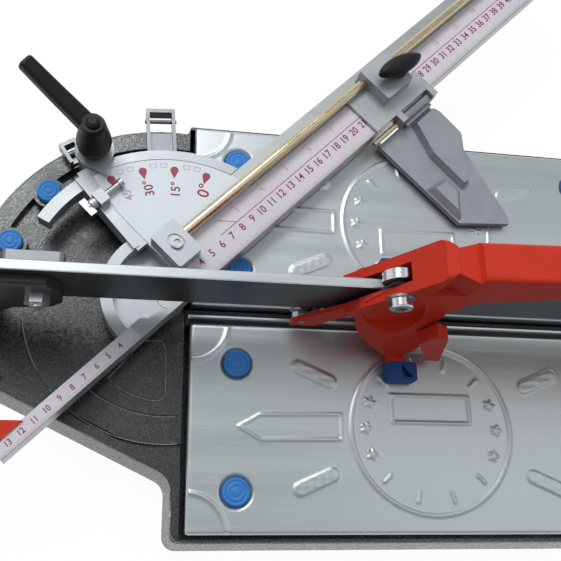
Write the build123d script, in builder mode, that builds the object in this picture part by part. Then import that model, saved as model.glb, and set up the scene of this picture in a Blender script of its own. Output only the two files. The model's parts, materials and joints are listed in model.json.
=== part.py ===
from build123d import *
from math import cos, sin, radians, tan
import os

os.makedirs("parts", exist_ok=True)

# Frame: X along the rail, Y across it, Z up, zero on the floor under the scale zero.

# Heights above the floor
foot_height = 8.0
tray_floor = 12.0
deck = 32.0
disc_step = 34.5
rim = 38.0
table_top = 46.0
table_travel = 5.0
T = table_top

# Gaps between bodies and fits
gap = 0.3
running = 0.05
wall = 4.0
draft = 7.0

# Tables
table_x0 = 21.0
table_x1 = 613.0
table_y0 = 7.0
table_y1 = 147.0
table_mid_x = (table_x0 + table_x1) / 2
table_mid_y = (table_y0 + table_y1) / 2
table_plate = 3.0
table_skirt = 12.0
skirt_wall = 2.0
pad_r = 9.4
pad_proud = 1.5
pad_recess_r = 11.8
pad_in = 32.5
pad_in_y = 27.4
pad_out_y = 26.8
pad_mid_shift = 9.0
head_pad_r = 8.6
ring_x = 191.0
ring_r = 58.0
ring_w = 2.4
emboss = 0.6
pin_r = 4.0
pin_in = 59.0
pin_off_y = 37.0
bush_r = 6.0
bush_top = 22.0
spring_in = 6.6
spring_out = 8.4

# Sector of the fence, which the head is built round
sector_r = 106.0
sector_deep = sector_r - 3.0
sector_in = sector_r - 7.0

# Base
head_r = sector_r + 33.5
base_x0 = 8.0
base_x1 = 765.0
base_y = 155.5
pocket_x0 = 17.5
pocket_x1 = 617.0
pocket_y = 149.5
rim_inner_r = sector_r + 16.0
step_r = sector_in
pivot_x = 5.0
pivot_y = 10.0
flank_slope = -0.484
flank_y0 = -109.33
cup_r = 11.2
cup_ring = sector_r + 9.0
cup_angles = (138.6, 161.6)
cup_top = T - 3.0
head_foot_r = 13.0
groove_r = sector_r - 26.0
groove_w = 1.0
groove_deep = 0.9
panel = [(-9.5, -17), (3, -17), (6, -22), (7, -55), (3, -60), (-4, -60), (-16, -57), (-27, -51),
         (-34, -45.5)]

# Rail and uprights
rail_half = 3.2
rail_low = T + 34.0
rail_high = T + 80.0
rail_x0 = -124.0
rail_x1 = 750.0
rail_gap = 0.2
cheek = rail_half + rail_gap

# Carriage and handle, at rest
bolt_x = 142.0
bolt_r = 5.0
axle_r = 3.0
roller_r = 11.0
low_roller_r = 7.0
low_roller_off = 15.0
bolt_z = rail_high + roller_r + gap
low_z = rail_low - low_roller_r - gap
plate_in = rail_half + 0.5
plate_t = 2.0
slot_half = plate_in + plate_t + 0.5
handle_half = 13.0
lobe_half = 28.0
wheel_x = 95.0
wheel_z = T + 20.0
wheel_r = 8.0
breaker_x = 164.0
breaker_z = T + 29.0

# Fence, along its own a and b directions from the pivot
fence_deg = 45.0
bar_b0 = -12.0
bar_b1 = 35.0
bar_low = T + 2.5
bar_high = T + 17.4
scale_t = 0.6
rod_r = 3.75
rod_b = 22.7
rod_z = T + 24.0
stop_pin_b = -16.5
stop_pin_z = T + 13.5


def save(builder, name):
    builder.part.label = name
    export_step(builder.part, "parts/" + name + ".step")


def ccw(points):
    pairs = list(zip(points, points[1:] + points[:1]))
    area = sum(p[0] * q[1] - q[0] * p[1] for p, q in pairs)
    return points if area > 0 else points[::-1]


def fence_at(height):
    c = cos(radians(fence_deg))
    s = sin(radians(fence_deg))
    return Plane(origin=(pivot_x, pivot_y, height), x_dir=(c, s, 0), z_dir=(0, 0, 1))


def fence_point(a, b, z):
    c = cos(radians(fence_deg))
    s = sin(radians(fence_deg))
    return (pivot_x + a * c - b * s, pivot_y + a * s + b * c, z)


def box(x0, x1, y0, y1, z0, z1, mode=Mode.ADD):
    with Locations(((x0 + x1) / 2, (y0 + y1) / 2, (z0 + z1) / 2)):
        Box(x1 - x0, y1 - y0, z1 - z0, mode=mode)


def fence_box(a0, a1, b0, b1, z0, z1, mode=Mode.ADD):
    with Locations(fence_point((a0 + a1) / 2, (b0 + b1) / 2, (z0 + z1) / 2)):
        Box(a1 - a0, b1 - b0, z1 - z0, rotation=(0, 0, fence_deg), mode=mode)


def rod_z_up(x, y, r, z0, z1, mode=Mode.ADD):
    with Locations((x, y, (z0 + z1) / 2)):
        Cylinder(r, z1 - z0, mode=mode)


def rod_along_y(x, z, r, y0, y1, mode=Mode.ADD):
    with Locations((x, (y0 + y1) / 2, z)):
        Cylinder(r, y1 - y0, rotation=(90, 0, 0), mode=mode)


def rod_along_a(b, z, r, a0, a1, mode=Mode.ADD):
    c = cos(radians(fence_deg))
    s = sin(radians(fence_deg))
    with Locations(Plane(origin=fence_point((a0 + a1) / 2, b, z), x_dir=(0, 0, 1), z_dir=(c, s, 0))):
        Cylinder(r, a1 - a0, mode=mode)


def rod_across(deg, r_place, z, r, half, mode=Mode.ADD):
    spot = head_point(r_place, deg)
    across = (-sin(radians(deg)), cos(radians(deg)), 0)
    with Locations(Plane(origin=(spot[0], spot[1], z), x_dir=(0, 0, 1), z_dir=across)):
        Cylinder(r, 2 * half, mode=mode)


def head_point(r, deg):
    return (pivot_x + r * cos(radians(deg)), pivot_y + r * sin(radians(deg)))


def flank_y(x):
    return flank_y0 + flank_slope * x


def sector_points(r0, r1, deg0, deg1, steps):
    turn = [deg0 + (deg1 - deg0) * i / steps for i in range(steps + 1)]
    outer = [(r1 * cos(radians(d)), r1 * sin(radians(d))) for d in turn]
    inner = [(r0 * cos(radians(d)), r0 * sin(radians(d))) for d in turn]
    return outer + inner[::-1]


# Outline of the base on the floor side
with BuildSketch() as outline:
    with Locations((pivot_x, pivot_y)):
        Circle(head_r)
    low = [(-170, flank_y(-170)), (base_x0, flank_y(base_x0)), (base_x0, -200), (-170, -200)]
    Polygon(*ccw(low), align=None, mode=Mode.SUBTRACT)
    far_x0 = base_x0 + 6
    tray = [(base_x0, 20), (base_x0, -base_y), (base_x1, -base_y), (base_x1, base_y)]
    tray = tray + [(far_x0, base_y), (far_x0, 20)]
    Polygon(*ccw(tray), align=None)
    fillet(outline.vertices().sort_by_distance((base_x0, flank_y(base_x0)))[0], 12)
    fillet(outline.vertices().sort_by_distance((base_x0, -base_y))[0], 9)
    fillet(outline.vertices().sort_by_distance((-120, -51))[0], 16)
    fillet(outline.vertices().sort_by_distance((base_x1, -base_y))[0], 18)
    fillet(outline.vertices().sort_by_distance((base_x1, base_y))[0], 18)
    fillet(outline.vertices().sort_by_distance((far_x0, base_y))[0], 5)

# Bush places under the two tables
bush_points = []
for bush_x in (table_x0 + pin_in, table_x1 - pin_in):
    for bush_y in (table_mid_y - pin_off_y, table_mid_y + pin_off_y):
        bush_points.append((bush_x, bush_y))
        bush_points.append((bush_x, -bush_y))

# Feet: one under the scale zero, the rest round the edge
foot_points = [(0, 0), (-105, 30), (40, -130), (40, 130)]
foot_points = foot_points + [(400, -130), (400, 130), (735, -125), (735, 125)]

# Front upright foot place
seat_x0 = -127.0
seat_x1 = -107.0
seat_y = 24.0
seat_top = deck + 5.0

with BuildPart() as base_casting:
    with BuildSketch(Plane.XY.offset(foot_height)):
        add(outline.sketch)
    extrude(amount=rim - foot_height, taper=draft)
    # tray pocket
    box(pocket_x0, pocket_x1, -pocket_y, pocket_y, tray_floor, rim + 20, Mode.SUBTRACT)
    # head deck inside the rim
    with BuildSketch(Plane.XY.offset(deck)):
        with Locations((pivot_x, pivot_y)):
            Circle(rim_inner_r)
        side = [(-170, flank_y(-170) + 11), (60, flank_y(60) + 11), (60, -200), (-170, -200)]
        Polygon(*ccw(side), align=None, mode=Mode.SUBTRACT)
        keep = [(-170, -200), (pocket_x0 + 1, -200), (pocket_x0 + 1, 200), (-170, 200)]
        Polygon(*ccw(keep), align=None, mode=Mode.INTERSECT)
    extrude(amount=20, mode=Mode.SUBTRACT)
    # raised disc with thin panel grooves
    with BuildSketch(Plane.XY.offset(deck)):
        with Locations((pivot_x, pivot_y)):
            Circle(step_r)
        side = [(-170, flank_y(-170) + 14), (60, flank_y(60) + 14), (60, -200), (-170, -200)]
        Polygon(*ccw(side), align=None, mode=Mode.SUBTRACT)
        keep = [(-170, -200), (pocket_x0, -200), (pocket_x0, 200), (-170, 200)]
        Polygon(*ccw(keep), align=None, mode=Mode.INTERSECT)
    extrude(amount=disc_step - deck)
    with BuildSketch(Plane.XY.offset(disc_step - groove_deep)):
        with Locations((pivot_x, pivot_y)):
            Circle(groove_r)
            Circle(groove_r - groove_w, mode=Mode.SUBTRACT)
            Polygon(*ccw(sector_points(1, 160, 224, 278, 24)), align=None, mode=Mode.INTERSECT)
    extrude(amount=5, mode=Mode.SUBTRACT)
    with BuildSketch(Plane.XY.offset(disc_step - groove_deep)) as panel_line:
        Polygon(*ccw(panel), align=None)
        fillet(panel_line.vertices(), 3)
        offset(amount=-groove_w, mode=Mode.SUBTRACT)
    extrude(amount=5, mode=Mode.SUBTRACT)
    # hollow under the head and under the rear deck
    with BuildSketch(Plane.XY.offset(foot_height)):
        with Locations((pivot_x, pivot_y)):
            Circle(head_r - 10)
        side = [(-170, flank_y(-170) + 10), (60, flank_y(60) + 10), (60, -200), (-170, -200)]
        Polygon(*ccw(side), align=None, mode=Mode.SUBTRACT)
        keep = [(-170, -200), (base_x0 + 2, -200), (base_x0 + 2, 200), (-170, 200)]
        Polygon(*ccw(keep), align=None, mode=Mode.INTERSECT)
    extrude(amount=deck - wall - foot_height, mode=Mode.SUBTRACT)
    rear = (pocket_x1 + wall, base_x1 - 2 * wall, -base_y + 2 * wall, base_y - 2 * wall)
    box(*rear, foot_height, rim - wall, Mode.SUBTRACT)
    # bosses over the feet and round the pivot
    for point in foot_points:
        if point[0] <= 0:
            rod_z_up(point[0], point[1], head_foot_r + 2, foot_height, deck - 1)
        if point[0] > pocket_x1:
            rod_z_up(point[0], point[1], head_foot_r + 2, foot_height, rim - 1)
    rod_z_up(pivot_x, pivot_y, 12, foot_height, deck - 1)
    # cups for the head pads
    for deg in cup_angles:
        cup = head_point(cup_ring, deg)
        rod_z_up(cup[0], cup[1], cup_r, deck - 2, cup_top)
        rod_z_up(cup[0], cup[1], head_pad_r, cup_top - 3, T + 5, Mode.SUBTRACT)
    # bushes for the table pins
    for point in bush_points:
        rod_z_up(point[0], point[1], bush_r, tray_floor - 1, bush_top)
        rod_z_up(point[0], point[1], pin_r + running, foot_height - 1, bush_top + 1, Mode.SUBTRACT)
    # flat seat of the front upright
    box(seat_x0, seat_x1, -seat_y, seat_y, deck, rim + 20, Mode.SUBTRACT)
    # pivot bolt thread
    rod_z_up(pivot_x, pivot_y, bolt_r, foot_height + 4, T, Mode.SUBTRACT)
save(base_casting, "base_casting")

with BuildPart() as rubber_feet:
    for point in foot_points:
        rod_z_up(point[0], point[1], head_foot_r, 0, foot_height)
    edges = rubber_feet.edges().filter_by(GeomType.CIRCLE).group_by(Axis.Z)[0]
    chamfer(edges, 1.5)
save(rubber_feet, "rubber_feet")

# Centre beam and breaking ridge between the tables
beam_half = 5.5
ridge_half = 1.5
ridge_low = T - 10.0
ridge_high = T - table_travel + 0.0
with BuildPart() as centre_beam:
    with BuildSketch(Plane.YZ.offset(pocket_x0 + gap)):
        Polygon((-beam_half, tray_floor), (beam_half, tray_floor), (beam_half, ridge_low),
                (-beam_half, ridge_low), align=None)
    extrude(amount=pocket_x1 - pocket_x0 - 2 * gap)
save(centre_beam, "centre_beam")

with BuildPart() as breaking_ridge:
    with BuildSketch(Plane.YZ.offset(pocket_x0 + 2)):
        Polygon((-3.5, ridge_low), (3.5, ridge_low), (ridge_half, ridge_high - 1),
                (0.6, ridge_high), (-0.6, ridge_high), (-ridge_half, ridge_high - 1), align=None)
    extrude(amount=pocket_x1 - pocket_x0 - 4)
save(breaking_ridge, "breaking_ridge")

with BuildPart() as head_pads:
    for deg in cup_angles:
        cup = head_point(cup_ring, deg)
        rod_z_up(cup[0], cup[1], head_pad_r - 0.1, cup_top - 3, T + pad_proud)
    chamfer(head_pads.edges().filter_by(GeomType.CIRCLE).group_by(Axis.Z)[-1], 1.2)
save(head_pads, "head_pads")

# Sprung tables, near side then far side
for side, place in ((-1, "near"), (1, "far")):
    pad_points = []
    for pad_x in (table_x0 + pad_in, table_mid_x + pad_mid_shift, table_x1 - pad_in):
        for pad_y in (table_y0 + pad_in_y, table_y1 - pad_out_y):
            pad_points.append((pad_x, side * pad_y))
    with BuildPart() as table:
        low = T - table_plate - table_skirt
        box(table_x0, table_x1, min(side * table_y0, side * table_y1),
            max(side * table_y0, side * table_y1), low, T)
        fillet(table.edges().filter_by(Axis.Z), 4)
        chamfer(table.faces().sort_by(Axis.Z)[-1].edges(), 0.8)
        inner0 = side * (table_y0 + skirt_wall)
        inner1 = side * (table_y1 - skirt_wall)
        box(table_x0 + skirt_wall, table_x1 - skirt_wall, min(inner0, inner1),
            max(inner0, inner1), low - 1, T - table_plate, Mode.SUBTRACT)
        # dished pad seats
        for point in pad_points:
            with Locations((point[0], point[1], T - 0.6)):
                Cone(pad_r + 0.2, pad_recess_r, 1.2, mode=Mode.SUBTRACT)
            rod_z_up(point[0], point[1], pad_r, T - 2, T, Mode.SUBTRACT)
        # raised ring at each end
        for rx in (ring_x, 2 * table_mid_x - ring_x):
            with BuildSketch(Plane.XY.offset(T - 0.2)):
                with Locations((rx, side * table_mid_y)):
                    Circle(ring_r + ring_w / 2)
                    Circle(ring_r - ring_w / 2, mode=Mode.SUBTRACT)
            extrude(amount=emboss + 0.2)
            # lozenges pointing at the ring
            for lx in (-1, 1):
                for ly in (-1, 1):
                    turn = 23.6 * lx * ly
                    with BuildSketch(Plane.XY.offset(T - 0.2)):
                        with Locations((rx + 83.5 * lx, side * table_mid_y + 36.5 * ly)):
                            SlotOverall(33, 9, rotation=turn)
                            SlotOverall(30.4, 6.4, rotation=turn, mode=Mode.SUBTRACT)
                    extrude(amount=emboss + 0.2)
        # arcs round the corners
        with BuildSketch(Plane.XY.offset(T - 0.2)):
            for cx in (table_x0, table_x1):
                for cy in (side * table_y0, side * table_y1):
                    with Locations((cx, cy)):
                        Circle(27.2)
                        Circle(25.0, mode=Mode.SUBTRACT)
            with Locations((table_mid_x, side * table_mid_y)):
                Rectangle(table_x1 - table_x0 - 3, table_y1 - table_y0 - 3, mode=Mode.INTERSECT)
        extrude(amount=emboss + 0.2)
        # arrows near the ends
        for flip in (1, -1):
            arrow = [(55, 77.5), (70, 69), (126, 68), (126, 85), (70, 86)]
            inner = [(58, 77.5), (70.6, 70.6), (124.4, 69.6), (124.4, 83.4), (70.6, 84.4)]
            if flip < 0:
                arrow = [(2 * table_mid_x - p[0], p[1]) for p in arrow]
                inner = [(2 * table_mid_x - p[0], p[1]) for p in inner]
            arrow = [(p[0], side * p[1]) for p in arrow]
            inner = [(p[0], side * p[1]) for p in inner]
            with BuildSketch(Plane.XY.offset(T - 0.2)):
                Polygon(*ccw(arrow), align=None)
                Polygon(*ccw(inner), align=None, mode=Mode.SUBTRACT)
            extrude(amount=emboss + 0.2)
    save(table, place + "_table")

    with BuildPart() as table_pads:
        for point in pad_points:
            rod_z_up(point[0], point[1], pad_r - 0.1, T - 2, T + pad_proud)
        fillet(table_pads.edges().filter_by(GeomType.CIRCLE).group_by(Axis.Z)[-1], 1.0)
    save(table_pads, place + "_table_pads")

    with BuildPart() as guide_pins:
        for point in bush_points:
            if point[1] * side > 0:
                rod_z_up(point[0], point[1], pin_r, 15, T - table_plate)
    save(guide_pins, place + "_guide_pins")

    with BuildPart() as springs:
        for point in bush_points:
            if point[1] * side > 0:
                rod_z_up(point[0], point[1], spring_out, tray_floor, T - table_plate - 0.1)
                rod_z_up(point[0], point[1], spring_in, tray_floor - 1, T, Mode.SUBTRACT)
    save(springs, place + "_springs")

# Front upright: foot, pillar and two cheeks that hold the rail end
arm_low = T + 28.0
arm_high = T + 72.0
arm_x1 = -62.0
arm_half = 10.0
nut_x = -76.0
nut_z = T + 54.0
front_bolts = ((-113.0, T + 56.0), (nut_x, nut_z))
with BuildPart() as front_upright:
    box(seat_x0, seat_x1, -seat_y, seat_y, deck, seat_top)
    box(seat_x0, seat_x1, -arm_half, arm_half, seat_top - 1, arm_high)
    with BuildSketch(Plane.XZ.offset(-arm_half)):
        arm = [(seat_x0, arm_low), (seat_x1, arm_low - 12), (seat_x1 + 14, arm_low)]
        arm = arm + [(arm_x1 - 8, arm_low + 4), (arm_x1, arm_low + 14), (arm_x1, arm_high - 10)]
        arm = arm + [(arm_x1 - 8, arm_high), (seat_x0, arm_high)]
        Polygon(*ccw(arm), align=None)
    extrude(amount=2 * arm_half)
    fillet(front_upright.edges().filter_by(Axis.X).group_by(Axis.Z)[-1], 2.5)
    box(rail_x0 - gap, 0, -cheek, cheek, rail_low - gap, arm_high + 20, Mode.SUBTRACT)
    # room for the rail clamp plate
    box(-96, -58, cheek - 1, 20, T + 52.5, arm_high + 20, Mode.SUBTRACT)
    for spot in front_bolts:
        rod_along_y(spot[0], spot[1], 4.0, -40, 40, Mode.SUBTRACT)
    for y in (-1, 1):
        rod_z_up((seat_x0 + seat_x1) / 2, y * 18, 3.0, deck - 1, seat_top + 1, Mode.SUBTRACT)
save(front_upright, "front_upright")

# Rear upright on the rear deck
rear_x0 = 718.0
rear_x1 = 752.0
rear_bolts = ((735.0, T + 56.0),)
with BuildPart() as rear_upright:
    box(rear_x0 - 12, rear_x1 + 6, -26, 26, rim, rim + 5)
    with BuildSketch(Plane.XZ.offset(-arm_half)):
        post = [(rear_x0 - 6, rim + 4), (rear_x1 + 2, rim + 4), (rear_x1, arm_high - 8)]
        post = post + [(rear_x1 - 8, arm_high), (rear_x0 + 8, arm_high), (rear_x0, arm_high - 8)]
        Polygon(*ccw(post), align=None)
    extrude(amount=2 * arm_half)
    box(rear_x0 - 20, rail_x1 + gap, -cheek, cheek, rail_low - gap, arm_high + 20, Mode.SUBTRACT)
    rod_along_y(rear_bolts[0][0], rear_bolts[0][1], 4.0, -40, 40, Mode.SUBTRACT)
    for y in (-1, 1):
        for x in (rear_x0 - 6, rear_x1):
            rod_z_up(x, y * 20, 3.0, rim - 1, rim + 6, Mode.SUBTRACT)
save(rear_upright, "rear_upright")

with BuildPart() as rail:
    box(rail_x0, rail_x1, -rail_half, rail_half, rail_low, rail_high)
    chamfer(rail.edges().filter_by(Axis.X), 0.6)
    for spot in front_bolts + rear_bolts:
        rod_along_y(spot[0], spot[1], 4.0, -40, 40, Mode.SUBTRACT)
save(rail, "rail")

clamp_y1 = 9.8
with BuildPart() as rail_clamp_plate:
    box(-95.5, -60, cheek, clamp_y1, T + 53, T + 78)
    fillet(rail_clamp_plate.edges().filter_by(Axis.Y), 3)
    rod_along_y(nut_x, nut_z, 10.0, -40, 40, Mode.SUBTRACT)
save(rail_clamp_plate, "rail_clamp_plate")

nut_t = 6.0
with BuildPart() as rail_bolts:
    for spot in front_bolts + rear_bolts:
        far_face = arm_half
        rod_along_y(spot[0], spot[1], 3.95, -arm_half - nut_t - 2, far_face)
        with BuildSketch(Plane.XZ.offset(-far_face)):
            with Locations(spot):
                RegularPolygon(7.0, 6)
        extrude(amount=-5)
save(rail_bolts, "rail_bolts")

with BuildPart() as rail_nuts:
    for spot in front_bolts + rear_bolts:
        with BuildSketch(Plane.XZ.offset(arm_half)):
            with Locations(spot):
                RegularPolygon(7.5, 6)
                Circle(3.95, mode=Mode.SUBTRACT)
        extrude(amount=nut_t)
save(rail_nuts, "rail_nuts")

with BuildPart() as upright_screws:
    for y in (-1, 1):
        x = (seat_x0 + seat_x1) / 2
        rod_z_up(x, y * 18, 2.95, deck, seat_top)
        rod_z_up(x, y * 18, 5.0, seat_top, seat_top + 4)
        rod_z_up(x, y * 18, 2.2, seat_top + 2, seat_top + 5, Mode.SUBTRACT)
        for x in (rear_x0 - 6, rear_x1):
            rod_z_up(x, y * 20, 2.95, rim, rim + 5)
            rod_z_up(x, y * 20, 5.0, rim + 5, rim + 9)
            rod_z_up(x, y * 20, 2.2, rim + 7, rim + 10, Mode.SUBTRACT)
save(upright_screws, "upright_screws")

# Stirrups on the head rim for side supports: angle, inner and outer radius, half width
stirrup_places = ((94.2, sector_r + 6.0, head_r + 11.0, 10.7), (123.5, sector_r + 17.0, head_r + 0.5, 6.5))
stirrup_seat = head_r - 6.5
stirrup_low = rim
stirrup_high = T + 1.0
with BuildPart() as side_stirrups:
    for deg, r0, r1, half in stirrup_places:
        foot = Plane(origin=(pivot_x, pivot_y, stirrup_low),
                     x_dir=(cos(radians(deg)), sin(radians(deg)), 0), z_dir=(0, 0, 1))
        with BuildSketch(foot):
            with Locations(((r0 + 1 + stirrup_seat) / 2, 0)):
                Rectangle(stirrup_seat - r0 - 1, 2 * half - 1)
        extrude(amount=2.5)
        with BuildSketch(foot):
            for y in (-1, 1):
                with Locations(((r0 + r1) / 2, y * (half - 1.25))):
                    Rectangle(r1 - r0, 2.5)
        extrude(amount=stirrup_high - stirrup_low)
        with BuildSketch(foot):
            with Locations((r1 - 1.5, 0)):
                Rectangle(3, 2 * half - 1)
        extrude(amount=stirrup_high - stirrup_low)
    for deg, r0, r1, half in stirrup_places:
        rod_across(deg, r1 - 9, T - 3, 1.6, 14, Mode.SUBTRACT)
save(side_stirrups, "side_stirrups")

with BuildPart() as stirrup_pins:
    for deg, r0, r1, half in stirrup_places:
        rod_across(deg, r1 - 9, T - 3, 1.55, half + 1.0)
save(stirrup_pins, "stirrup_pins")

# Fence clamp on the head rim
clamp_deg = 119.2
clamp_r = sector_r + 8.6
clamp_half = 10.0
clamp_top = T + 22.0
stud_r = 5.0
clamp_spot = head_point(clamp_r, clamp_deg)
clamp_dir = (cos(radians(clamp_deg)), sin(radians(clamp_deg)), 0)
with BuildPart() as clamp_block:
    with BuildSketch(Plane(origin=(pivot_x, pivot_y, deck), x_dir=clamp_dir, z_dir=(0, 0, 1))):
        with Locations(((sector_r + 0.8 + rim_inner_r - 0.5) / 2, 0)):
            Rectangle(rim_inner_r - sector_r - 1.3, 2 * clamp_half)
    extrude(amount=clamp_top - deck)
    low = T + 18.5
    with BuildSketch(Plane(origin=(pivot_x, pivot_y, low), x_dir=clamp_dir, z_dir=(0, 0, 1))):
        tip = [(sector_r - 14, 0), (sector_in, -5), (sector_r + 2, -clamp_half)]
        tip = tip + [(sector_r + 2, clamp_half), (sector_in, 5)]
        Polygon(*ccw(tip), align=None)
    extrude(amount=clamp_top - low)
    rod_z_up(clamp_spot[0], clamp_spot[1], 13.5, low, clamp_top)
    rod_z_up(clamp_spot[0], clamp_spot[1], stud_r, T, clamp_top + 1, Mode.SUBTRACT)
save(clamp_block, "clamp_block")

with BuildPart() as clamp_stud:
    rod_z_up(clamp_spot[0], clamp_spot[1], stud_r - 0.02, T, T + 44)
save(clamp_stud, "clamp_stud")

# Clamp lever with conical hub
hub_low = clamp_top + gap
hub_high = T + 58.0
cap_r = 4.8
lever_tip = (-97.0, 145.0, T + 70.0)
with BuildPart() as clamp_lever:
    with BuildSketch(Plane.XZ):
        cone = [(0, hub_low), (8.8, hub_low), (11.6, hub_low + 7), (12.2, hub_low + 12)]
        cone = cone + [(11.4, hub_low + 18), (9.6, hub_high - 9), (8.6, hub_high - 3)]
        cone = cone + [(7.2, hub_high), (0, hub_high)]
        Polygon(*ccw(cone), align=None)
    revolve(axis=Axis.Z)
    run = Vector(*lever_tip) - Vector(clamp_spot[0], clamp_spot[1], T + 49)
    across = run.normalized().cross(Vector(0, 0, 1)).normalized()
    start = Plane(origin=(0, 0, T + 49), x_dir=across, z_dir=run)
    end = Plane(origin=Vector(0, 0, T + 49) + run, x_dir=across, z_dir=run)
    mid = Plane(origin=Vector(0, 0, T + 48.5) + run * 0.55, x_dir=across, z_dir=run)
    with BuildSketch(start):
        RectangleRounded(13, 11, 3)
    with BuildSketch(mid):
        RectangleRounded(12, 10, 3)
    with BuildSketch(end):
        RectangleRounded(11, 9.5, 3)
    loft(ruled=True)
    fillet(clamp_lever.faces().sort_by_distance(Vector(0, 0, T + 49) + run)[0].edges(), 2.5)
    rod_z_up(0, 0, stud_r + running, hub_low - 1, T + 44 + gap, Mode.SUBTRACT)
    rod_z_up(0, 0, cap_r + 0.1, hub_high - 3, hub_high + 1, Mode.SUBTRACT)
clamp_lever.part.locate(Location((clamp_spot[0], clamp_spot[1], 0)))
save(clamp_lever, "clamp_lever")

with BuildPart() as clamp_lever_cap:
    rod_z_up(clamp_spot[0], clamp_spot[1], cap_r, hub_high - 3, hub_high + 3)
    fillet(clamp_lever_cap.edges().group_by(Axis.Z)[-1], 2.6)
save(clamp_lever_cap, "clamp_lever_cap")

# Fence pivot bolt, fixed in the base
hub_sink = T + 2.0
with BuildPart() as fence_pivot_bolt:
    rod_z_up(pivot_x, pivot_y, bolt_r - 0.02, foot_height + 4, hub_sink + gap)
    rod_z_up(pivot_x, pivot_y, 8.0, hub_sink + gap, hub_sink + 1.8)
    with BuildSketch(Plane.XY.offset(hub_sink + 1.0)):
        with Locations((pivot_x, pivot_y)):
            RegularPolygon(3.5, 6)
    extrude(amount=3, mode=Mode.SUBTRACT)
save(fence_pivot_bolt, "fence_pivot_bolt")

# Fence casting: hub, roots, sector plate, curved arms
root_b1 = bar_b1 + 0.3
cut_gap = 28.4
wall_deg = 84.0
set_b = 79.5
set_z = T + 21.4
with BuildPart() as fence_casting:
    with BuildSketch(fence_at(T + 2.0)):
        Circle(46)
        Polygon((-60, -60), (60, -60), (60, bar_b0), (-60, bar_b0), align=None, mode=Mode.SUBTRACT)
    extrude(amount=2.0)
    rod_z_up(pivot_x, pivot_y, 11.5, disc_step + gap, T + 2.5)
    fence_box(12, 46.5, bar_b0, root_b1, T + 3.5, bar_high)
    with BuildSketch(fence_at(T + 3.5)):
        Polygon((-46.5, bar_b0), (-cut_gap - bar_b0, bar_b0), (-cut_gap + 1, -1), (-46.5, -1),
                align=None)
    extrude(amount=bar_high - T - 3.5)
    # straight rib that carries the working edge past the pivot
    with BuildSketch(fence_at(T + 3.5)):
        rib = [(-44, bar_b0), (14, bar_b0), (14, -9.4), (-6, -9.4), (-14, -6.4), (-36, -2.4), (-44, -2)]
        Polygon(*ccw(rib), align=None)
    extrude(amount=bar_high - T - 3.5)
    # sector plate
    with BuildSketch(fence_at(T + 12.0)):
        Polygon(*ccw(sector_points(30, sector_deep, 0, wall_deg, 40)), align=None)
        Polygon((-10, -60), (160, -60), (160, root_b1), (-10, root_b1), align=None,
                mode=Mode.SUBTRACT)
    extrude(amount=bar_high - T - 12.0)
    # raised rim
    with BuildSketch(fence_at(bar_low)):
        Circle(sector_r)
        Circle(sector_in, mode=Mode.SUBTRACT)
        Polygon(*ccw(sector_points(1, 160, 0, wall_deg, 12)), align=None, mode=Mode.INTERSECT)
        Polygon((-10, -60), (160, -60), (160, root_b1), (-10, root_b1), align=None,
                mode=Mode.SUBTRACT)
    extrude(amount=T + 18 - bar_low)
    # radial wall at the left of the sector
    with BuildSketch(fence_at(bar_low)):
        Polygon(*ccw(sector_points(38, sector_deep, wall_deg - 4, wall_deg + 2, 6)), align=None)
    extrude(amount=T + 18 - bar_low)
    # outer curved arm
    with BuildSketch(fence_at(T + 4)):
        Circle(sector_deep)
        Circle(sector_deep - 9, mode=Mode.SUBTRACT)
        Polygon(*ccw(sector_points(1, 160, wall_deg, 106.5, 8)), align=None, mode=Mode.INTERSECT)
    extrude(amount=12)
    # inner curved arm
    with BuildSketch(fence_at(T + 3)):
        Circle(46)
        Circle(38, mode=Mode.SUBTRACT)
        Polygon(*ccw(sector_points(1, 160, wall_deg - 2, 183, 12)), align=None, mode=Mode.INTERSECT)
    extrude(amount=12)
    # lug for the set screw on the radial wall
    fence_box(6, 14, set_b - 5, set_b + 5, bar_high - 1, T + 25)
    rod_along_a(set_b, set_z, 2.2, -20, 40, Mode.SUBTRACT)
    rod_z_up(pivot_x, pivot_y, bolt_r + running, 0, T + 10, Mode.SUBTRACT)
    rod_z_up(pivot_x, pivot_y, 8.4, hub_sink, T + 10, Mode.SUBTRACT)
save(fence_casting, "fence_casting")

with BuildPart() as fence_set_screw:
    rod_along_a(set_b, set_z, 2.18, -1, 28)
    rod_along_a(set_b, set_z, 4.0, 1, 5)
    fence_box(-4, 1, set_b - 6.5, set_b + 6.5, set_z - 1.6, set_z + 1.6)
    rod_along_a(set_b, set_z, 3.2, 26, 29)
save(fence_set_screw, "fence_set_screw")

# Fence bars and their printed scales
long_a0 = 46.8
long_a1 = 450.0
short_a0 = -150.0
short_a1 = -46.8
with BuildPart() as long_bar:
    fence_box(long_a0, long_a1, bar_b0, bar_b1, bar_low, bar_high)
    fence_box(long_a0 - 5, long_a1 + 5, bar_b0 + 2.5, bar_b1 - 2.5, bar_low - 5, bar_high - 2.5,
              Mode.SUBTRACT)
save(long_bar, "long_bar")

with BuildPart() as short_bar:
    fence_box(short_a0, short_a1, bar_b0, -1, bar_low, bar_high)
    fence_box(short_a0 - 5, short_a1 + 5, bar_b0 + 2, -3, bar_low - 5, bar_high - 2.5,
              Mode.SUBTRACT)
save(short_bar, "short_bar")

with BuildPart() as long_scale:
    fence_box(20, long_a1 - 1, bar_b0 + 0.5, 19, bar_high, bar_high + scale_t)
save(long_scale, "long_scale")

with BuildPart() as short_scale:
    fence_box(short_a0 + 1, -36, bar_b0 + 0.3, -1.3, bar_high, bar_high + scale_t)
save(short_scale, "short_scale")

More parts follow.
